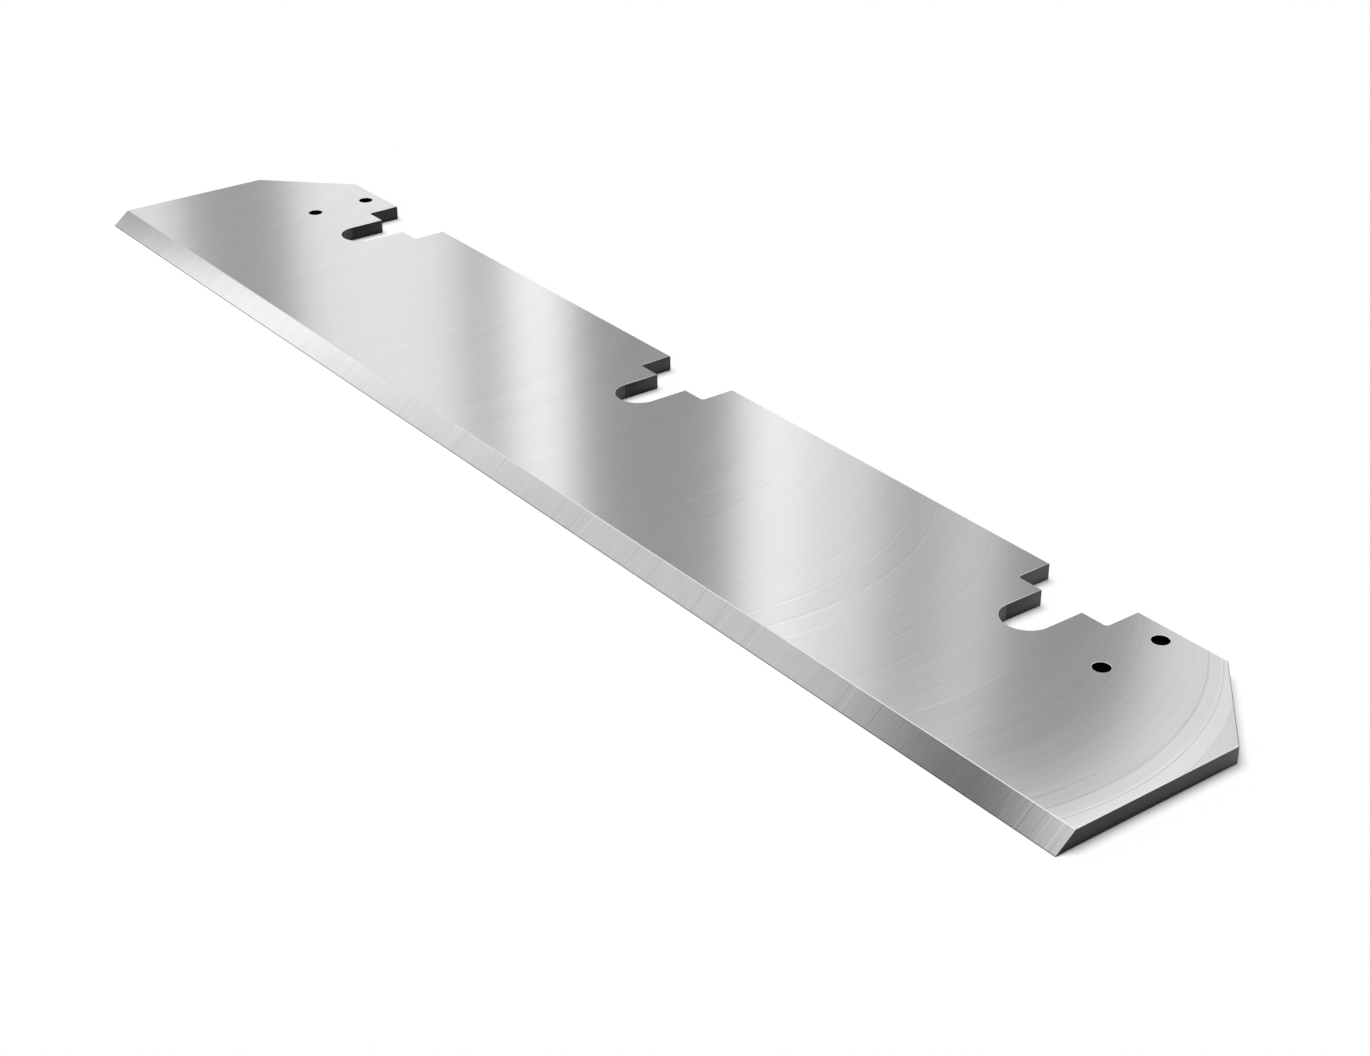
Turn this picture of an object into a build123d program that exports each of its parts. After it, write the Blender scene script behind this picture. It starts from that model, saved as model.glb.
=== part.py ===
from build123d import *
import math
import os

# A flaker knife: one flat strip of hardened steel with a ground bevel along its front, which
# slices strands from wood in a ring or drum flaker.
# Millimetres, +Z up. The blade lies on its flat underside, centred on the origin, with its
# length along X, its cutting edge towards -Y and its notched back edge towards +Y.

# The flat strip
blade_length = 501.0
blade_width = 90.0
blade_thickness = 5.0

# The cutting edge: the bevel falls from the top face almost to the underside, where a narrow
# honed land keeps the edge from crumbling, and the stone leaves the heel of the bevel round
bevel_angle = 39.0
honed_land = 0.1
heel_radius = 0.5

# The cut-off corners at both ends of the back edge
corner_cut = 27.8

# The stepped notches in the back edge: a wide recess for the clamp, then a round-ended slot
# for its screw. The outer two stand off from the ends and the others are evenly between.
notch_count = 3
notch_end_distance = 75.5
recess_width = 33.0
recess_depth = 12.0
recess_corner_radius = 1.0
slot_width = 15.0
slot_depth = 32.5

# The setting holes: one pair outside each outer notch, one hole behind the other
hole_diameter = 5.0
hole_from_notch = 30.0
hole_from_back = 6.0
hole_row_spacing = 22.0

# The sharp arrises round the outline and the holes are broken by this much
edge_break = 0.2

front = -blade_width / 2
back = blade_width / 2
notch_span = blade_length - 2 * notch_end_distance
notch_pitch = notch_span / max(notch_count - 1, 1)


def strip_outline():
    """The strip in plan, with both corners of its back edge cut off at 45 degrees."""
    outline = Rectangle(blade_length, blade_width)
    return chamfer(outline.vertices().group_by(Axis.Y)[-1], corner_cut)


def notch():
    """One notch in plan: the recess with its two inner corners rounded, and the slot."""
    recess = Pos(0, back) * Rectangle(recess_width, 2 * recess_depth)
    recess = fillet(recess.vertices().group_by(Axis.Y)[0], recess_corner_radius)
    end_radius = slot_width / 2
    slot_end = back - slot_depth + end_radius
    slot = Pos(0, (slot_end + back) / 2) * Rectangle(slot_width, back - slot_end)
    return recess + slot + Pos(0, slot_end) * Circle(end_radius)


def profile():
    """The whole outline, with the notches and the holes that go straight through."""
    notches = [place * notch() for place in GridLocations(notch_pitch, 0, notch_count, 1)]
    hole_span = notch_span + 2 * hole_from_notch
    hole_middle = Pos(0, back - hole_from_back - hole_row_spacing / 2)
    hole_grid = GridLocations(hole_span, hole_row_spacing, 2, 2)
    holes = [hole_middle * place * Circle(hole_diameter / 2) for place in hole_grid]
    return strip_outline() - notches - holes


def break_edges(blank):
    """The arrises of both flat faces are broken, but for the two that the bevel takes over."""
    flats = blank.faces().filter_by(Axis.Z)
    arrises = [edge for flat in flats for edge in flat.edges()]
    return chamfer([edge for edge in arrises if edge.center().Y > front + edge_break], edge_break)


def grind_bevel(blank):
    """One slanting cut along the front, down to the honed land, and its rounded heel."""
    slope = math.radians(bevel_angle)
    outwards = (0, -math.sin(slope), math.cos(slope))
    bevel = Plane((0, front, honed_land), x_dir=(1, 0, 0), z_dir=outwards)
    ground = split(blank, bisect_by=bevel, keep=Keep.BOTTOM)
    heel = ground.edges().filter_by(Axis.X).group_by(Axis.Z)[-1].sort_by(Axis.Y)[0]
    return fillet(heel, heel_radius)


knife_blade = grind_bevel(break_edges(extrude(profile(), amount=blade_thickness)))

os.makedirs("parts", exist_ok=True)
export_step(knife_blade, "parts/knife_blade.step")
print("knife_blade:", len(knife_blade.faces()), "faces,", round(knife_blade.volume), "cubic mm")
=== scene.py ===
# %% [markdown]
# A flaker knife: a long flat blade that lies in the rotor of a wood flaker and slices thin
# strands from logs. It is one piece of hardened steel. This lesson models it the way it is
# made: a strip is cut to its outline, its arrises are broken, and only then the long bevel is
# ground. Then come the finishes, the studio and the camera.
#
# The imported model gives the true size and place, and everything here is fitted to it.

# %% Load the frame
import math

import bmesh
import bpy
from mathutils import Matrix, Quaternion, Vector


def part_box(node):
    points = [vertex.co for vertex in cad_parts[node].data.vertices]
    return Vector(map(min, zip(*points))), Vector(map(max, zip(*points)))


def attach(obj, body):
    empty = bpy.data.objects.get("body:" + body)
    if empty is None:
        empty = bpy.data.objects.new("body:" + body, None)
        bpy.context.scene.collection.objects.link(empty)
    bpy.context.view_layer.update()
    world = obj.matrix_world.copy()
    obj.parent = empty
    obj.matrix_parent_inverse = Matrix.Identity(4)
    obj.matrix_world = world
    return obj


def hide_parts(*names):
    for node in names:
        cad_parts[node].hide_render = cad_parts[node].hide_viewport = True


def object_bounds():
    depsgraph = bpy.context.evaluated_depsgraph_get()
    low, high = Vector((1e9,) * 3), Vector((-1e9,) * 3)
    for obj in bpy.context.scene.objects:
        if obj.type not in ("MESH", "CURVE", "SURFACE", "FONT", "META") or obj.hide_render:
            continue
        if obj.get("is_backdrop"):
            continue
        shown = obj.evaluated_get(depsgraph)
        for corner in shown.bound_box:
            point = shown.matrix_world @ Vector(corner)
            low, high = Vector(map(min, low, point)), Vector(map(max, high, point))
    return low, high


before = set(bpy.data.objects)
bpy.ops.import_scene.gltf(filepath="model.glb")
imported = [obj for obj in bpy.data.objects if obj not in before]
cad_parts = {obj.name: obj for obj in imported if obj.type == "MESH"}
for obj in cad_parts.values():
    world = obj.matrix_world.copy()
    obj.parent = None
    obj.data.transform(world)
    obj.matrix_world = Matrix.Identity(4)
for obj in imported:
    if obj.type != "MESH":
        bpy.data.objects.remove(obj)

cad_box = [list(corner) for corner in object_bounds()]
low, high = (Vector(corner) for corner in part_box("knife_blade"))
length, width, thickness = high - low
print("blade box in mm:", [round(side * 1000, 2) for side in (length, width, thickness)])

# %% [markdown]
# Sizes first. A millimetre is written once, and every size of the blade is a multiple of it.
# The back of the blade is the edge with the notches, towards +Y, and the front is the cutting
# edge, towards -Y. The blade lies on the floor, so its underside is at height zero.

# %% Sizes of the blade
MM = 0.001
front, back = low.y, high.y
corner_cut = 27.8 * MM
notch_pitch = 175 * MM
notch_places = [-notch_pitch, 0.0, notch_pitch]
recess_width, recess_depth, recess_corner = 33 * MM, 12 * MM, 1 * MM
slot_width, slot_depth = 15 * MM, 32.5 * MM
hole_radius = 2.5 * MM
hole_from_notch = 30 * MM
hole_from_middle = notch_pitch + hole_from_notch
hole_rows = [back - 6 * MM, back - 28 * MM]
hole_places = [(x, y) for x in (-hole_from_middle, hole_from_middle) for y in hole_rows]
edge_break = 0.2 * MM
bevel_angle = math.radians(39)
honed_land = 0.1 * MM
heel_radius = 0.5 * MM
print("notches:", len(notch_places), "holes:", len(hole_places))
print("bevel in degrees:", round(math.degrees(bevel_angle), 1))

# %% [markdown]
# A few small helpers. Every operator works on what is selected, so each step starts from an
# empty selection and picks its own edges or faces by where they are. Picking by place, not by
# index, keeps a step right when an earlier one changes the number of vertices.


# %% Helpers for selecting and modelling
def start_piece(name):
    """Names the primitive that was just added, and opens it in edit mode."""
    piece = bpy.context.object
    piece.name = piece.data.name = name
    bpy.ops.object.mode_set(mode="EDIT")
    return piece


def pick_edges(piece, wanted):
    """Selects the edges of the piece in edit mode for which wanted(edge) is true."""
    bpy.ops.mesh.select_all(action="DESELECT")
    mesh = bmesh.from_edit_mesh(piece.data)
    for edge in mesh.edges:
        if wanted(edge):
            edge.select_set(True)
    bmesh.update_edit_mesh(piece.data)
    return sum(edge.select for edge in mesh.edges)


def middle(edge):
    """The point halfway along the edge."""
    return (edge.verts[0].co + edge.verts[1].co) / 2


def along(edge, axis):
    """True if the edge runs along this axis, 0 for X, 1 for Y and 2 for Z."""
    run = edge.verts[1].co - edge.verts[0].co
    return abs(run[axis]) > 0.999 * run.length


# %% [markdown]
# The blank starts as a cube, resized in edit mode to the bar of steel that it is cut from. The
# resize happens in edit mode, so the object itself stays at the origin, unscaled, and the
# place is in the mesh. The two corners of the back edge are then cut off with the bevel
# operator on the two upright edges, because a bevel of one segment is exactly a 45 degree cut.

# %% The strip and its cut corners
bpy.ops.object.select_all(action="DESELECT")
bpy.ops.mesh.primitive_cube_add(size=1)
blade = start_piece("ground_blade")
bpy.ops.transform.resize(value=(length, width, thickness))
bpy.ops.transform.translate(value=(0, 0, thickness / 2))
corners = pick_edges(blade, lambda edge: along(edge, 2) and middle(edge).y > back - MM)
bpy.ops.mesh.bevel(offset=corner_cut, offset_type="OFFSET", segments=1, affect="EDGES", clamp_overlap=False)
bpy.ops.object.mode_set(mode="OBJECT")
print("corners cut:", corners)

# %% [markdown]
# A notch is a wide recess for the clamp, then a slot with a half-round end for its screw. It
# could be drawn into the outline, but a cutter is simpler to get right: one block for the
# recess with its two inner corners rounded, one block for the slot and one round bar for its
# end. Each reaches above, below and behind the blade, so that no face of a cutter lies in a
# face of the blade, which boolean cuts handle badly.

# %% The cutters
overcut = 4 * MM
arc_steps = 64


def block(name, x, y_low, y_high, across):
    """A cutter block, centred on x, through the whole thickness."""
    bpy.ops.object.select_all(action="DESELECT")
    bpy.ops.mesh.primitive_cube_add(size=1)
    cutter = start_piece(name)
    bpy.ops.transform.resize(value=(across, y_high - y_low, thickness + 2 * overcut))
    bpy.ops.transform.translate(value=(x, (y_low + y_high) / 2, thickness / 2))
    return cutter


def round_bar(name, x, y, radius):
    """A round cutter, through the whole thickness."""
    bpy.ops.object.select_all(action="DESELECT")
    bpy.ops.mesh.primitive_cylinder_add(vertices=arc_steps, radius=radius, depth=thickness + 2 * overcut)
    cutter = start_piece(name)
    bpy.ops.transform.translate(value=(x, y, thickness / 2))
    bpy.ops.object.mode_set(mode="OBJECT")
    return cutter


def cut_with(piece, cutter):
    """Takes the cutter away from the piece, and deletes the cutter."""
    cut = piece.modifiers.new("cut", "BOOLEAN")
    cut.operation, cut.solver, cut.object = "DIFFERENCE", "EXACT", cutter
    bpy.ops.object.select_all(action="DESELECT")
    bpy.context.view_layer.objects.active = piece
    piece.select_set(True)
    bpy.ops.object.modifier_apply(modifier=cut.name)
    bpy.data.objects.remove(cutter)


print("cutters reach", round(overcut / MM, 1), "mm past the blade, and round ones have", arc_steps, "sides")

# %% [markdown]
# The recess goes first, then the slot, then its round end, in each of the three places. The
# four small holes near the ends take the screws that set the blade in its holder. An exact
# boolean is used for each cut, because it leaves flat faces flat and makes clean edges, which
# the next step needs.

# %% Notches and holes
slot_end = back - slot_depth + slot_width / 2
for x in notch_places:
    recess = block("recess_cutter", x, back - recess_depth, back + overcut, recess_width)
    pick_edges(recess, lambda edge: along(edge, 2) and middle(edge).y < back)
    bpy.ops.mesh.bevel(offset=recess_corner, offset_type="OFFSET", segments=8, affect="EDGES")
    bpy.ops.object.mode_set(mode="OBJECT")
    cut_with(blade, recess)
    slot = block("slot_cutter", x, slot_end, back + overcut, slot_width)
    bpy.ops.object.mode_set(mode="OBJECT")
    cut_with(blade, slot)
    cut_with(blade, round_bar("slot_end_cutter", x, slot_end, slot_width / 2))
for x, y in hole_places:
    cut_with(blade, round_bar("hole_cutter", x, y, hole_radius))
print("after the cuts:", len(blade.data.vertices), "vertices,", len(blade.data.polygons), "faces")

# %% [markdown]
# Freshly cut edges are sharp, so the maker breaks them all with a file or a brush, which
# leaves a narrow round that catches the light. It is 0.2 mm wide here. The bevel operator
# makes it, on every edge of the two flat faces that turns by more than 30 degrees. The front
# is left alone, because the grinding will make the cutting edge there.

# %% Broken edges
close = 0.01 * MM
sharp_turn = math.radians(30)


def is_arris(edge):
    """True for a sharp edge of the top face or the underside, away from the front."""
    place = middle(edge)
    on_a_flat = place.z < close or place.z > thickness - close
    level = abs(edge.verts[0].co.z - edge.verts[1].co.z) < close
    sharp = len(edge.link_faces) == 2 and edge.calc_face_angle() > sharp_turn
    return on_a_flat and level and sharp and place.y > front + close


bpy.ops.object.select_all(action="DESELECT")
bpy.context.view_layer.objects.active = blade
blade.select_set(True)
bpy.ops.object.mode_set(mode="EDIT")
arrises = pick_edges(blade, is_arris)
bpy.ops.mesh.bevel(offset=edge_break, offset_type="OFFSET", segments=2, affect="EDGES", clamp_overlap=False)
print("arrises broken:", arrises)

# %% [markdown]
# Now the grinding. The bevel is one plane that falls from the top face to the underside at 39
# degrees, and stops a tenth of a millimetre short, which is the honed land that keeps the edge
# from crumbling. Bisect cuts with a plane, throws the outer side away and fills the cut. A
# knife made with an extrude and a scale would need its slope worked out, but the plane is the
# grinding wheel itself. The heel, where bevel and top face meet, then gets its small radius:
# the bevel operator wants the length of the tangent, which is the radius times the tangent of
# half the turn.

# %% The ground bevel and its heel
outwards = Vector((0, -math.sin(bevel_angle), math.cos(bevel_angle)))
bpy.ops.mesh.select_all(action="SELECT")
bpy.ops.mesh.bisect(
    plane_co=(0, front, honed_land), plane_no=outwards, use_fill=True, clear_outer=True, threshold=1e-7
)
bevel_run = (thickness - honed_land) / math.tan(bevel_angle)
heel_line = front + bevel_run


def is_heel(edge):
    """True for an edge of the line where bevel and top face meet."""
    place = middle(edge)
    return along(edge, 0) and abs(place.y - heel_line) < close and place.z > thickness - close


heels = pick_edges(blade, is_heel)
heel_tangent = heel_radius * math.tan(bevel_angle / 2)
bpy.ops.mesh.bevel(
    offset=heel_tangent, offset_type="OFFSET", segments=4, affect="EDGES", clamp_overlap=False
)
bpy.ops.mesh.select_all(action="SELECT")
bpy.ops.mesh.remove_doubles(threshold=1e-6)
bpy.ops.object.mode_set(mode="OBJECT")
print("bevel run in mm:", round(bevel_run / MM, 2), "heel edges rounded:", heels)

# %% [markdown]
# Shading. Smooth shading makes the round walls and the broken edges look round, but it also
# bends the light over the edge of every flat face. A Weighted Normal modifier gives each
# corner the normal of the largest face that meets there, so the ground faces stay dead flat
# and only the narrow rounds turn the light.

# %% Smooth rounds and flat faces
bpy.ops.object.shade_smooth_by_angle(angle=math.radians(35))
weigh = blade.modifiers.new("flat faces stay flat", "WEIGHTED_NORMAL")
weigh.mode, weigh.weight, weigh.keep_sharp = "FACE_AREA", 100, True
bpy.ops.object.modifier_apply(modifier=weigh.name)
print("sharp edges kept:", sum(edge.use_edge_sharp for edge in blade.data.edges))

# %% [markdown]
# Materials. A ground steel face is a mirror that thousands of fine scratches have blurred. A
# picture of scratches would be a file to carry along, and coarse from close up, so each finish
# here is made of nodes. A few helpers add the nodes and their links, so that a pattern can be
# written down almost like a sum.


# %% Helpers for nodes
def new_material(name, metallic):
    """A material with its shader, ready for nodes."""
    material = bpy.data.materials.new(name)
    material.use_nodes = True
    shader = material.node_tree.nodes["Principled BSDF"]
    shader.inputs["Metallic"].default_value = metallic
    return material, material.node_tree, shader


def calculate(tree, operation, first, second=None):
    """A Math node on sockets or numbers, and its result."""
    node = tree.nodes.new("ShaderNodeMath")
    node.operation = operation
    for socket, value in zip(node.inputs, (first, second)):
        if isinstance(value, (int, float)):
            socket.default_value = value
        elif value is not None:
            tree.links.new(value, socket)
    return node.outputs[0]


def place_on_blade(tree):
    """The X, Y and Z of a point on the blade, in metres."""
    coordinates = tree.nodes.new("ShaderNodeTexCoord")
    parts = tree.nodes.new("ShaderNodeSeparateXYZ")
    tree.links.new(coordinates.outputs["Object"], parts.inputs[0])
    return parts.outputs


def blend(tree, *layers):
    """The sum of some patterns, each times its share."""
    total = None
    for noise, share in layers:
        part = calculate(tree, "MULTIPLY", noise, share)
        total = part if total is None else calculate(tree, "ADD", total, part)
    return total


def spread(tree, value, low_in, high_in, low_out, high_out):
    """Maps one range to another, and clamps it."""
    node = tree.nodes.new("ShaderNodeMapRange")
    tree.links.new(value, node.inputs["Value"])
    ends = {"From Min": low_in, "From Max": high_in, "To Min": low_out, "To Max": high_out}
    for name, number in ends.items():
        node.inputs[name].default_value = number
    return node.outputs[0]


finishes = {}
print("faces that need a finish:", len(blade.data.polygons))

# %% [markdown]
# Scratches. Noise drawn out in one direction gives scratches that fade in and out, and its
# extremes give the few deeper ones. Noise alone looks even, so single lines can be drawn as
# well, each by its place, its width and how light it is. The same scratches then drive tone,
# gloss and relief, as real ones do. On the ground faces the gloss hardly changes from scratch
# to scratch, because a wide range would break up the reflections and look combed.

# %% Helpers for scratches
fine_relief = 0.002 * MM
tone_reach = (-0.5, 0.25)
gloss_reach = (-0.25, 0.25)
core_of_line = 0.3
edge_of_score = 0.05


def marks(tree, across, along, per_metre_across, per_metre_along, detail=2.0):
    """Noise drawn out along the grinding marks, a little more or less than nought."""
    stretched = tree.nodes.new("ShaderNodeCombineXYZ")
    tree.links.new(calculate(tree, "MULTIPLY", across, per_metre_across), stretched.inputs[0])
    tree.links.new(calculate(tree, "MULTIPLY", along, per_metre_along), stretched.inputs[1])
    noise = tree.nodes.new("ShaderNodeTexNoise")
    noise.noise_dimensions = "2D"
    noise.inputs["Scale"].default_value = 1
    noise.inputs["Detail"].default_value = detail
    tree.links.new(stretched.outputs[0], noise.inputs["Vector"])
    return calculate(tree, "SUBTRACT", noise.outputs["Fac"], 0.5)


def scored(tree, noise, rarity):
    """1 on a few thin lines and -1 on a few others, where the noise is at its extremes."""
    ridges = spread(tree, noise, rarity, rarity + edge_of_score, 0, 1)
    grooves = spread(tree, noise, -rarity - edge_of_score, -rarity, 1, 0)
    return calculate(tree, "SUBTRACT", ridges, grooves)


def drawn(tree, across, lines):
    """The lines that stand out one by one: place, half width (both in mm) and how light."""
    layers = []
    for place, half_width, lightness in lines:
        away = calculate(tree, "ABSOLUTE", calculate(tree, "SUBTRACT", across, place * MM))
        on_line = spread(tree, away, core_of_line * half_width * MM, half_width * MM, 1, 0)
        layers.append((on_line, lightness))
    return blend(tree, *layers)


def finish_with(tree, shader, tone, grey_range, gloss, gloss_range, height, depth):
    """Drives the grey, the roughness and the relief of a shader."""
    tree.links.new(spread(tree, tone, *tone_reach, *grey_range), shader.inputs["Base Color"])
    tree.links.new(spread(tree, gloss, *gloss_reach, *gloss_range), shader.inputs["Roughness"])
    bump = tree.nodes.new("ShaderNodeBump")
    bump.inputs["Strength"].default_value = 1
    bump.inputs["Distance"].default_value = depth
    tree.links.new(height, bump.inputs["Height"])
    tree.links.new(bump.outputs[0], shader.inputs["Normal"])


print("relief of the ground faces in thousandths of a mm:", round(fine_relief / MM * 1000, 1))

# %% [markdown]
# The flat faces. A cup wheel leaves arcs of its own radius, one beside the other, as the blade moves past
# under it. So the pattern needs one number, which says on which arc a point lies: its X less the half chord
# of the wheel at its Y. A real wheel also leaves single deep lines where a grain broke out. The clearest of
# those are listed, each by the number of its arc in millimetres, so that it bends with the others.

# %% The wheel and its single lines
wheel_radius = 93.5 * MM
wheel_centre = -20 * MM
wheel_lines = [
    # place, half width, lightness
    (-170.2, 0.5, 0.5),
    (-116.4, 0.35, 0.4),
    (-104.4, 0.35, -0.5),
    (-73.6, 0.4, 0.4),
    (-72.4, 0.3, -0.3),
    (-34.2, 0.4, 0.5),
    (-24.5, 0.4, 0.5),
    (-13.9, 0.35, -0.8),
    (-0.4, 0.3, -0.5),
    (28.2, 0.35, -0.5),
    (28.9, 0.35, 0.7),
    (36.5, 0.45, -0.4),
    (37.5, 0.5, 0.5),
    (45.0, 0.5, -0.4),
    (46.3, 0.6, 0.6),
    (53.2, 0.35, 0.5),
    (68.2, 0.25, -0.4),
    (68.8, 0.3, 0.5),
    (99.4, 0.5, 0.3),
    (106.5, 0.9, 0.2),
    (113.0, 0.35, 0.4),
    (116.8, 0.35, -0.4),
    (122.5, 0.8, -0.2),
    (139.8, 0.4, -0.5),
    (142.6, 0.3, 0.5),
    (143.9, 0.3, -0.6),
    (148.8, 0.5, -1.1),
    (149.9, 0.35, 0.3),
    (153.2, 0.4, 0.9),
    (153.9, 0.35, -1.0),
    (158.0, 0.3, 0.5),
    (158.6, 0.25, -0.5),
]
print("lines drawn on the flat faces:", len(wheel_lines))

# %% [markdown]
# Noise that changes fast with the number of the arc, and slowly along it, makes the marks. By the right end
# two brighter steps and one bright streak follow the arcs: painted light that brightens the reflection
# there. A thin painted highlight runs beside the top edge of the right end. The lines are clearest by the
# right end. The marks also get deeper from left to right, where the wheel bit harder.

# %% Ground steel, for the top face and the underside
wheel_runs_out = (140 * MM, 148 * MM)
# Painted light by the right end: two bright steps across the arcs, a bright streak, and a painted highlight
# beside the rim.
first_painted_step = (134 * MM, 134.6 * MM)
second_painted_step = (148.6 * MM, 149.2 * MM)
painted_streak_middle = 155.9 * MM
painted_streak_edge = (1.6 * MM, 2.5 * MM)
painted_rim_highlight = (249.8 * MM, 250.1 * MM)


def arc_of(tree, x, y):
    """On which arc of the wheel a point lies."""
    off_centre = calculate(tree, "SUBTRACT", y, wheel_centre)
    square = calculate(tree, "MULTIPLY", off_centre, off_centre)
    half_chord = calculate(tree, "SQRT", calculate(tree, "SUBTRACT", wheel_radius ** 2, square))
    return calculate(tree, "SUBTRACT", x, half_chord)


def lines_kept(tree, arc, y):
    """How much is left of the drawn lines: worn in patches, faint at the back, clear by the end."""
    kept = blend(tree, (marks(tree, arc, y, 60, 45), 1), (marks(tree, arc, y, 900, 400), 0.6))
    kept = spread(tree, kept, -0.15, 0.15, 0.1, 1.1)
    near_end = spread(tree, arc, *wheel_runs_out, 0, 1)
    fading = calculate(tree, "MAXIMUM", spread(tree, y, 0, 35 * MM, 1, 0.3), near_end)
    kept = calculate(tree, "MULTIPLY", kept, fading)
    return calculate(tree, "MAXIMUM", kept, calculate(tree, "MULTIPLY", near_end, 0.7))


def painted_end_brightening(tree, arc, x, y):
    """The painted light by the right end: two bright steps, a streak and a highlight beside the rim, each
    with its share.
    """
    towards_back = spread(tree, y, 2 * MM, 16 * MM, 1, 0.4)
    before = calculate(tree, "MULTIPLY", spread(tree, arc, *first_painted_step, 0, 1), towards_back)
    last = calculate(tree, "MULTIPLY", spread(tree, arc, *second_painted_step, 0, 1), towards_back)
    off_streak = calculate(tree, "ABSOLUTE", calculate(tree, "SUBTRACT", arc, painted_streak_middle))
    painted_streak = spread(tree, off_streak, *painted_streak_edge, 1, 0)
    return (before, 0.03), (last, 0.06), (painted_streak, 0.09), (spread(tree, x, *painted_rim_highlight, 0, 1), 0.1)


def ground_steel():
    """The whole finish of the flat faces."""
    material, tree, shader = new_material("ground_steel", 1)
    x, y, _ = place_on_blade(tree)
    arc = arc_of(tree, x, y)
    worn = spread(tree, marks(tree, x, y, 22, 22), -0.15, 0.15, 0.35, 0.8)
    bite = calculate(tree, "MULTIPLY", worn, spread(tree, x, -50 * MM, 200 * MM, 0.2, 1.1))
    passes = marks(tree, arc, y, 110, 8)
    grooves = calculate(tree, "MULTIPLY", marks(tree, arc, y, 450, 14), bite)
    hairs = calculate(tree, "MULTIPLY", marks(tree, arc, y, 1900, 30), bite)
    scores = calculate(tree, "MULTIPLY", scored(tree, marks(tree, arc, y, 800, 10, 1), 0.21), bite)
    lines = calculate(tree, "MULTIPLY", drawn(tree, arc, wheel_lines), lines_kept(tree, arc, y))
    tone = blend(tree, (passes, 0.07), (grooves, 0.04), (hairs, 0.14), (scores, 0.04), (lines, 0.16))
    # Adds the painted brightening and the painted highlight by the right end to the tone.
    tone = blend(tree, (tone, 1), *painted_end_brightening(tree, arc, x, y))
    height = blend(tree, (grooves, 0.04), (hairs, 0.2), (scores, 0.05), (lines, 0.1))
    finish_with(tree, shader, tone, (0.3, 0.78), hairs, (0.109, 0.121), height, fine_relief)
    return material


finishes["ground"] = ground_steel()
print("nodes in the ground steel:", len(finishes["ground"].node_tree.nodes))

# %% [markdown]
# The bevel is ground in its own setting, with a finer wheel that runs across it. Its scratches go down the
# slope, from heel to cutting edge, hardly slanting at all. It is the freshest surface, so it is a little
# brighter than the flat. Its outermost 20 mm are painted brighter still, as a painted highlight. Along the
# cutting edge a thin line is painted darker, as painted shade where the edge meets the floor.
# Here too the clearest single scratches are listed, each by its X.

# %% Single lines on the bevel
bevel_lines = [
    # place, half width, lightness
    (-41, 0.4, -0.4),
    (-37, 0.5, -0.3),
    (-29.4, 0.3, -0.2),
    (-12.3, 0.3, 0.3),
    (-9.5, 0.4, -0.4),
    (-8.2, 0.5, -0.3),
    (13.3, 0.3, -0.5),
    (27.5, 0.6, 0.25),
    (30.3, 0.5, -0.2),
    (39.7, 0.4, 0.2),
    (45.8, 0.5, -0.2),
    (54.3, 0.3, -0.4),
    (56.4, 0.3, -0.4),
    (59.4, 0.4, 0.5),
    (64, 0.3, 0.25),
    (81.5, 0.5, -0.3),
    (91.7, 0.3, -0.35),
    (102.2, 0.3, 0.3),
    (112.2, 0.35, -0.6),
    (121.7, 1.2, -0.2),
    (124.4, 0.5, 0.25),
    (134.4, 0.8, -0.2),
    (136.7, 0.4, 0.3),
    (147.8, 0.3, 0.3),
    (161.7, 0.5, -0.25),
    (172.2, 0.4, -0.3),
    (174.4, 0.5, 0.35),
    (184.4, 0.35, -0.5),
    (192.8, 0.3, -0.3),
    (213.3, 0.3, -0.25),
    (223.3, 0.4, -0.3),
    (230.0, 0.3, -0.2),
    (236.7, 0.35, 0.9),
    (237.4, 0.3, -0.7),
    (241.5, 0.3, -0.7),
    (243.4, 0.3, 0.5),
    (247.0, 0.3, 0.8),
    (248.4, 0.25, -0.7),
]
print("lines drawn on the bevel:", len(bevel_lines))

# %% [markdown]
# The pattern is made as on the flat faces, only with X in the place of the arc, because these
# scratches are straight. A slow noise lets them lean a hair to one side here and to the other
# there, so that they don't stand like a comb.

# %% Bevel steel
# Painted light and shade on the bevel: a painted highlight over its outermost 20 mm, and painted shade
# along the cutting edge.
end_highlight_span = (229.8 * MM, 230.4 * MM)
edge_shade_heights = (0.15 * MM, 0.28 * MM)


def bevel_steel():
    """The whole finish of the bevel."""
    material, tree, shader = new_material("bevel_steel", 1)
    x, y, z = place_on_blade(tree)
    down = calculate(tree, "SUBTRACT", y, heel_line)
    lean = calculate(tree, "MULTIPLY", marks(tree, x, y, 25, 25), 0.08)
    across = calculate(tree, "ADD", x, calculate(tree, "MULTIPLY", down, lean))
    passes = marks(tree, across, y, 180, 20)
    bite = spread(tree, x, -100 * MM, 240 * MM, 0.3, 1)
    grooves = calculate(tree, "MULTIPLY", marks(tree, across, y, 1300, 60), bite)
    hairs = marks(tree, across, y, 3500, 120)
    scores = calculate(tree, "MULTIPLY", scored(tree, marks(tree, across, y, 1100, 50, 1), 0.19), bite)
    lines = drawn(tree, across, bevel_lines)
    # Painted highlight over the outermost 20 mm of the bevel.
    painted_end_highlight = spread(tree, x, *end_highlight_span, 0, 1)
    tone = blend(tree, (passes, 0.08), (grooves, 0.03), (hairs, 0.13), (scores, 0.025), (lines, 0.17))
    # Painted shade along the cutting edge, where it meets the floor.
    painted_edge_shade = spread(tree, z, *edge_shade_heights, 1, 0)
    tone = blend(tree, (tone, 1), (painted_end_highlight, 0.04), (painted_edge_shade, -0.42))
    height = blend(tree, (grooves, 0.02), (hairs, 0.12), (scores, 0.03), (lines, 0.08))
    finish_with(tree, shader, tone, (0.23, 0.89), hairs, (0.11, 0.12), height, fine_relief)
    return material


finishes["bevel"] = bevel_steel()
print("nodes in the bevel steel:", len(finishes["bevel"].node_tree.nodes))
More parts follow.
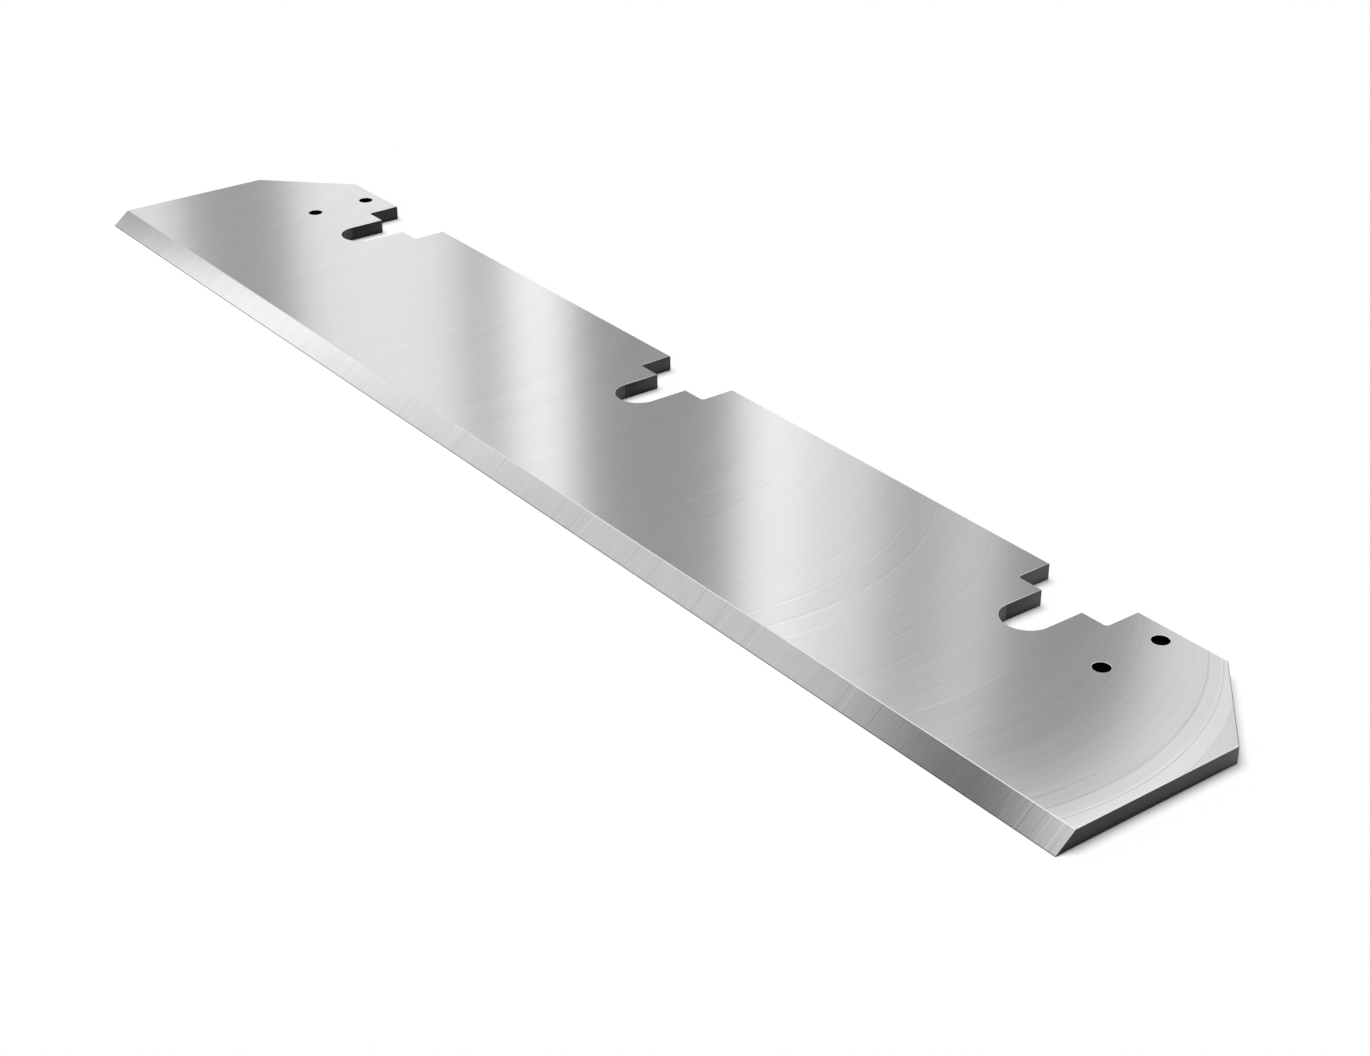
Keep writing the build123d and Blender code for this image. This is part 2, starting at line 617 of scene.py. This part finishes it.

# %% [markdown]
# The walls of the outline and the notches are as the furnace left them: dark scale, dull, with fine upright
# lines. On them, painted shade darkens the foot, the deep part of each slot and the recesses. Painted light
# makes them paler to the right and towards the back along the right end. The slots' round ends get a paler
# copy of this finish, as painted light. The holes are painted nearly black, as painted shade. One function
# makes all three, because they differ only in their greys, their shine and how fast they get paler. The
# broken edges round the top are bright steel again, a little rough from the brush. Those underneath are
# painted as black as the holes, as painted shade where the blade meets the floor.

# %% Dark walls, black holes and bright broken edges
# Where the painted shade and light on the walls change: the foot's painted shade, the painted shade deep in
# a slot, the start of a recess's painted shade, and the right end's painted light.
foot_shade_heights = (0.4 * MM, 1.8 * MM)
slot_shade_span = (18 * MM, 33 * MM)
recess_shade_start = (33 * MM, 34 * MM)
end_light_span = (249 * MM, 250 * MM)
scale_relief = 0.003 * MM


def dark_wall(name, darkest, palest, shine, light_to_right_share, slot_shade_share):
    """Dull scale, with painted shade at its foot, deep in the slots and in the recesses, and painted light
    to the right and along the right end.
    """
    material, tree, shader = new_material(name, 0)
    shader.inputs["Specular IOR Level"].default_value = shine
    x, y, z = place_on_blade(tree)
    upright = marks(tree, calculate(tree, "ADD", x, y), z, 1500, 100)
    # Painted shade: darker deep in the slots, a little paler at their mouths.
    outwards = spread(tree, y, *slot_shade_span, -0.8, 0.2)
    # Painted shade at the foot of each wall.
    painted_foot_shade = spread(tree, z, *foot_shade_heights, 1, 0)
    # Painted shade in the recesses, gone by 150 mm to the right.
    recess = spread(tree, y, *recess_shade_start, 0, 1)
    recess = calculate(tree, "MULTIPLY", recess, spread(tree, x, 0, 150 * MM, 1, 0))
    # Painted light along the right end, paler towards its back corner.
    slowly = spread(tree, y, -25 * MM, 12 * MM, 0, 0.4)
    quickly = spread(tree, y, 10 * MM, 17 * MM, 0, 0.6)
    far_part = calculate(tree, "ADD", slowly, quickly)
    painted_end_light = calculate(tree, "MULTIPLY", far_part, spread(tree, x, *end_light_span, 0, 1))
    # The tone is the upright lines plus painted light to the right, then the painted shades and the painted
    # light.
    tone = blend(tree, (upright, 0.2), (x, light_to_right_share), (outwards, slot_shade_share), (painted_foot_shade, -0.18))
    tone = blend(tree, (tone, 1), (recess, -0.1), (painted_end_light, 0.5))
    tone = spread(tree, tone, -0.25, 0.25, *tone_reach)
    finish_with(tree, shader, tone, (darkest, palest), upright, (0.35, 0.5), upright, scale_relief)
    return material


def broken_edge():
    """Bright steel with small nicks that run in no direction."""
    material, tree, shader = new_material("broken_edge", 1)
    x, y, _ = place_on_blade(tree)
    nicks = marks(tree, calculate(tree, "ADD", x, y), calculate(tree, "SUBTRACT", x, y), 1200, 1200)
    finish_with(tree, shader, nicks, (0.4, 0.7), nicks, (0.14, 0.22), nicks, fine_relief)
    return material


# name, darkest, palest, shine, share of painted light to the right, share of painted shade deep in the slot
finishes["wall"] = dark_wall("dark_wall", 0.002, 0.09, 0.3, 0.9, 0.5)
# The slots' round ends: a paler copy of the wall finish, as painted light.
finishes["slot_end"] = dark_wall("slot_end_painted_light", 0.034, 0.12, 0.3, 0.6, 0)
# Holes and the underside's broken edges: painted nearly black, as painted shade.
finishes["hole"] = dark_wall("painted_shade_black", 0.001, 0.003, 0.05, 0, 0)
finishes["edge"] = broken_edge()
print("nodes in each:", {kind: len(material.node_tree.nodes) for kind, material in finishes.items()})

# %% [markdown]
# Each face gets its finish by how it lies: level faces are ground flat, the slope at the front is the
# bevel, the upper half of each broken edge is bright, and the rest are walls, holes and slot ends. The
# heel's round belongs to the bevel. The broken edges of the cut corners get the dark wall finish, as
# painted shade. The lower half of each broken edge is painted black like the holes, as painted shade.
# Asking each face for its place and normal is surer than picking faces by hand, because it stays right when
# the mesh changes.

# %% Which face gets which finish
kinds = list(finishes)
blade.data.materials.clear()
for material in finishes.values():
    blade.data.materials.append(material)
level_face, tilted_face = 0.99, 0.5


def kind_of(face):
    """The name of the finish for this face."""
    place, normal = face.center, face.normal
    if abs(normal.z) > level_face:
        return "ground"
    if normal.z > 0.1 and normal.y < -0.1 and place.y < heel_line + heel_tangent:
        return "bevel"
    if normal.z > tilted_face:
        # The cut corners' broken edges get the dark wall finish, as painted shade.
        at_cut_corner = abs(place.x) + place.y > length / 2 + back - corner_cut - MM
        return "wall" if at_cut_corner else "edge"
    # Hole walls and the lower halves of the broken edges are painted black, as painted shade.
    in_a_hole = any(math.dist(place.xy, hole) < hole_radius + edge_break for hole in hole_places)
    if in_a_hole or normal.z < -tilted_face:
        return "hole"
    # The round ends of the slots get the paler copy, as painted light.
    in_slot_end = any(math.dist(place.xy, (x, slot_end)) < slot_width / 2 for x in notch_places)
    return "slot_end" if in_slot_end and place.y < slot_end else "wall"


found = [kind_of(face) for face in blade.data.polygons]
for face, kind in zip(blade.data.polygons, found):
    face.material_index = kinds.index(kind)
print("faces of each finish:", {kind: found.count(kind) for kind in kinds})

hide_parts("knife_blade")
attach(blade, "root")

# %% [markdown]
# The floor is a plain white board. For the camera and in reflections it glows a little, so that
# it reaches pure white, while the lamp still draws the blade's shadow on it. More light on
# everything would do that too, but it would bleach the blade. The board lies a hair lower than
# the blade, because two faces at one height flicker.

# %% The floor
floor_size = 40
floor_gap = 0.02 * MM
floor_white = 0.98
floor_glow = 0.04


def seen_rays(tree):
    """1 for the rays that show a background: camera, glossy and transmission rays."""
    path = tree.nodes.new("ShaderNodeLightPath")
    seen = path.outputs["Is Camera Ray"]
    for name in ("Is Glossy Ray", "Is Transmission Ray"):
        seen = calculate(tree, "MAXIMUM", seen, path.outputs[name])
    return seen


bpy.ops.object.select_all(action="DESELECT")
bpy.ops.mesh.primitive_plane_add(size=floor_size, location=(0, 0, -floor_gap))
floor = bpy.context.object
floor.name = "floor"
board, tree, shader = new_material("white_board", 0)
shader.inputs["Base Color"].default_value = (floor_white, floor_white, floor_white, 1)
shader.inputs["Roughness"].default_value = 0.9
shader.inputs["Specular IOR Level"].default_value = 0
shader.inputs["Emission Color"].default_value = (1, 1, 1, 1)
glow = calculate(tree, "MULTIPLY", seen_rays(tree), floor_glow)
tree.links.new(glow, shader.inputs["Emission Strength"])
floor.data.materials.append(board)
floor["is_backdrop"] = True
print("floor:", floor_size, "m square,", round(floor_gap / MM, 3), "mm under the blade")

# %% [markdown]
# The studio. Polished steel shows what stands round it, so the room is designed for the
# reflections: a ring of boards, some bright and some dim, each from one direction to the next.
# Steel needs the dim ones as much as the bright ones, because without them it looks like white
# plastic. Real boards would be objects to place and light. The same ring drawn on the sky by
# its nodes is simpler, and each band on the blade can be traced back to one row of the list.
# Directions are degrees from +X, counted towards +Y, and each board's edge is as soft as its
# own number of degrees says. Level 1 is the white of the floor.

# %% The boards round the blade
boards = [
    # from, softness of that edge, brightness
    (4, 4, 1.1),
    (12, 4, 0.6),
    (20, 4, 1.2),
    (28, 4, 0.45),
    (40, 4, 1.1),
    (50, 5, 0.5),
    (60, 4, 0.75),
    (68, 5, 0.9),
    (75, 4, 1.3),
    (84, 4, 0.6),
    (91, 4, 1.1),
    (97, 4, 0.4),
    (104, 5, 0.75),
    (111, 4, 1.05),
    (118, 4, 0.95),
    (127.2, 1, 1.06),
    (129.6, 1.6, 0.4),
    (133.8, 1, 0.9),
    (135.5, 1, 0.57),
    (137.4, 1, 1.05),
    (139.6, 1, 1.45),
    (141.4, 1, 0.42),
    (146, 1, 1.5),
    (147.7, 1, 0.6),
    (149, 1, 1.17),
    (153.2, 1, 0.48),
    (156, 1, 1.1),
    (166, 4, 0.6),
    (172, 4, 1.25),
    (182, 4, 0.43),
    (197.9, 1, 1.55),
    (200.9, 2, 1.01),
    (204.2, 3, 0.8),
    (217, 3, 0.88),
    (219.5, 1.5, 1.05),
    (228, 4, 0.7),
    (236, 4, 1.3),
    (247, 4, 0.5),
    (256, 4, 1.0),
    (268, 4, 0.65),
    (275, 4, 1.35),
    (287, 4, 0.8),
    (298, 4, 0.45),
    (307, 4, 1.1),
    (320, 4, 0.6),
    (329, 4, 1.3),
    (341, 4, 0.7),
    (350, 4, 1.05),
    (356, 3, 0.55),
]
levels = [brightness for start, softness, brightness in boards]
print("boards:", len(boards), "from level", min(levels), "to", max(levels))

# %% [markdown]
# Nodes for the ring. Each board adds a soft step up or down from the one before it. Upright
# boards would draw the same straight bands everywhere, so those up to 138 degrees lean over at
# their tops, and a dark flag hangs slanting across the boards that the bevel reflects. A dark
# hood over the boards from 28 to 68 degrees keeps the broken edges over the dark walls from
# shining. Heights go from 0 at the horizon to 1 right overhead: they are the sine of the angle
# up, which is simply the Z of the direction.

# %% The ring of boards, with its flag and its hood
degrees_of_lean = 3.6
end_of_lean = (134.6, 138)
flag_slant, flag_shade = 196, 0.94
hood_sides = [(28, 4, 0.93), (68, 5, 0)]


def soft_step(tree, value, start, end, at_start, at_end):
    """at_start before start, at_end after end, and a smooth change between."""
    node = tree.nodes.new("ShaderNodeMapRange")
    node.interpolation_type = "SMOOTHSTEP"
    tree.links.new(value, node.inputs["Value"])
    ends = {"From Min": start, "From Max": end, "To Min": at_start, "To Max": at_end}
    for name, number in ends.items():
        node.inputs[name].default_value = number
    return node.outputs[0]


def side_by_side(tree, value, level, pieces):
    """The brightness of pieces that stand side by side. level is what comes before the first."""
    row = None
    for start, softness, brightness in pieces:
        step = soft_step(tree, value, start - softness / 2, start + softness / 2, 0, brightness - level)
        row = calculate(tree, "ADD", level if row is None else row, step)
        level = brightness
    return row


world = bpy.data.worlds.new("studio")
bpy.context.scene.world = world
world.use_nodes = True
tree = world.node_tree
tree.nodes.clear()
coordinates = tree.nodes.new("ShaderNodeTexCoord")
towards = tree.nodes.new("ShaderNodeSeparateXYZ")
tree.links.new(coordinates.outputs["Generated"], towards.inputs[0])
x, y, z = towards.outputs
turn = calculate(tree, "MULTIPLY", calculate(tree, "ARCTAN2", y, x), 180 / math.pi)
turn = calculate(tree, "FLOORED_MODULO", turn, 360)
lean = soft_step(tree, z, start=0.534, end=0.61, at_start=0, at_end=degrees_of_lean)
lean = calculate(tree, "MULTIPLY", lean, spread(tree, turn, *end_of_lean, 1, 0))
turn = calculate(tree, "SUBTRACT", turn, lean)
ring = side_by_side(tree, turn, boards[-1][2], boards)
slant = blend(tree, (turn, 1), (z, flag_slant))
flag_start = soft_step(tree, slant, start=339.4, end=353, at_start=0, at_end=flag_shade)
flag_end = soft_step(tree, slant, start=355.9, end=360.6, at_start=1, at_end=0)
flag = calculate(tree, "MULTIPLY", flag_start, flag_end)
hood = side_by_side(tree, turn, 0, hood_sides)
hood = calculate(tree, "MULTIPLY", hood, soft_step(tree, z, start=0.5, end=0.58, at_start=0, at_end=1))
for shade in (flag, hood):
    ring = calculate(tree, "MULTIPLY", ring, calculate(tree, "SUBTRACT", 1, shade))
print("nodes in the ring:", len(tree.nodes))

# %% [markdown]
# Above the boards hangs one large soft light. It leans over the back left corner, where it
# comes down to 35 degrees above the horizon. Right overhead it is closed off by strips of cloth
# that run from front to back, so that the blade shows bands from above too. Matt things don't
# see the boards: to them the room is one plain, low level. The camera sees neither, only white
# behind the floor.

# %% The whole surround
strips = [
    # from, softness of that edge, brightness
    (-0.42, 0.1, 0.7),
    (-0.26, 0.06, 1.15),
    (-0.12, 0.05, 0.55),
    (0.0, 0.08, 0.95),
    (0.12, 0.05, 0.6),
    (0.24, 0.1, 1.05),
    (0.36, 0.1, 0.7),
]
lean_to_back, lean_to_left = 0.145, 0.25
plain_level = 0.06
ceiling = soft_step(tree, x, start=-0.2, end=0.3, at_start=1.4, at_end=0.8)
overhead = soft_step(tree, z, start=0.87, end=0.9, at_start=0, at_end=1)
leaning = blend(tree, (z, 1), (y, lean_to_back), (x, -lean_to_left))
over = soft_step(tree, leaning, start=0.797, end=0.815, at_start=0, at_end=1)


def mixed(tree, share, first, second):
    """first where share is 0 and second where it is 1."""
    node = tree.nodes.new("ShaderNodeMix")
    for socket, value in zip(("Factor", "A", "B"), (share, first, second)):
        if isinstance(value, (int, float)):
            node.inputs[socket].default_value = value
        else:
            tree.links.new(value, node.inputs[socket])
    return node.outputs["Result"]


ceiling = mixed(tree, overhead, ceiling, side_by_side(tree, x, 1, strips))
surround = mixed(tree, seen_rays(tree), plain_level, mixed(tree, over, ring, ceiling))
path = tree.nodes.new("ShaderNodeLightPath")
surround = mixed(tree, path.outputs["Is Camera Ray"], surround, 1)
light = tree.nodes.new("ShaderNodeBackground")
light.inputs["Color"].default_value = (1, 1, 1, 1)
tree.links.new(surround, light.inputs["Strength"])
tree.links.new(light.outputs[0], tree.nodes.new("ShaderNodeOutputWorld").inputs["Surface"])
print("nodes in the surround:", len(tree.nodes))

# %% [markdown]
# The only lamp is one wide soft light almost overhead, a little to the left. It lights the
# matt floor and walls and draws the soft shadow to the right of each wall. A sun lamp with a
# wide angle does this best, because its shadow is equally soft along the whole blade, where a
# lamp close by would draw a harder one at its own end. The steel doesn't mirror it.

# %% The soft lamp
lamp_height = math.radians(77)
lamp_width = math.radians(52)
lamp_level = 0.92
lamp = bpy.data.lights.new("soft_lamp", "SUN")
lamp.angle = lamp_width
lamp.energy = lamp_level * math.pi / math.sin(lamp_height)
sun = bpy.data.objects.new("soft_lamp", lamp)
bpy.context.scene.collection.objects.link(sun)
to_lamp = Vector((-math.cos(lamp_height), 0, math.sin(lamp_height)))
sun.rotation_mode = "QUATERNION"
sun.rotation_quaternion = to_lamp.to_track_quat("Z", "Y")
sun.visible_glossy = False
print("lamp energy:", round(lamp.energy, 3), "towards the lamp:", [round(part, 3) for part in to_lamp])

# %% [markdown]
# The camera stands off the near right end and looks along the blade. Seen from the middle of
# the blade it is 26 degrees up. From so near, the far end looks much smaller, so the place
# matters as much as the lens: a longer lens from further off would frame the blade as well, but
# flatten it. Its place and aim are in metres, in the blade's own frame, and its lens is in
# millimetres.

# %% The camera
eye = Vector((0.5374, -0.3681, 0.3163))
aim = Vector((0.0774, -0.0201, 0.0025))
roll = math.radians(-0.064)
camera = bpy.data.objects.new("camera", bpy.data.cameras.new("camera"))
bpy.context.scene.collection.objects.link(camera)
camera.data.sensor_width = 36
camera.data.lens = 60.145
camera.location = eye
camera.rotation_mode = "QUATERNION"
camera.rotation_quaternion = (aim - eye).to_track_quat("-Z", "Y") @ Quaternion((0, 0, 1), roll)
bpy.context.scene.camera = camera
bpy.context.scene.view_settings.view_transform = "Standard"
print("camera to aim:", round((aim - eye).length, 3), "m, lens:", round(camera.data.lens, 2), "mm")

# %% [markdown]
# The end. The blade made here has to be as large as the imported model, so both boxes are measured and
# compared.

# %% Sizes compared
own_box = [list(corner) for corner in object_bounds()]
off = max(abs(a - b) for cad, own in zip(cad_box, own_box) for a, b in zip(cad, own))
print("largest difference from the packed size in mm:", round(off / MM, 5))
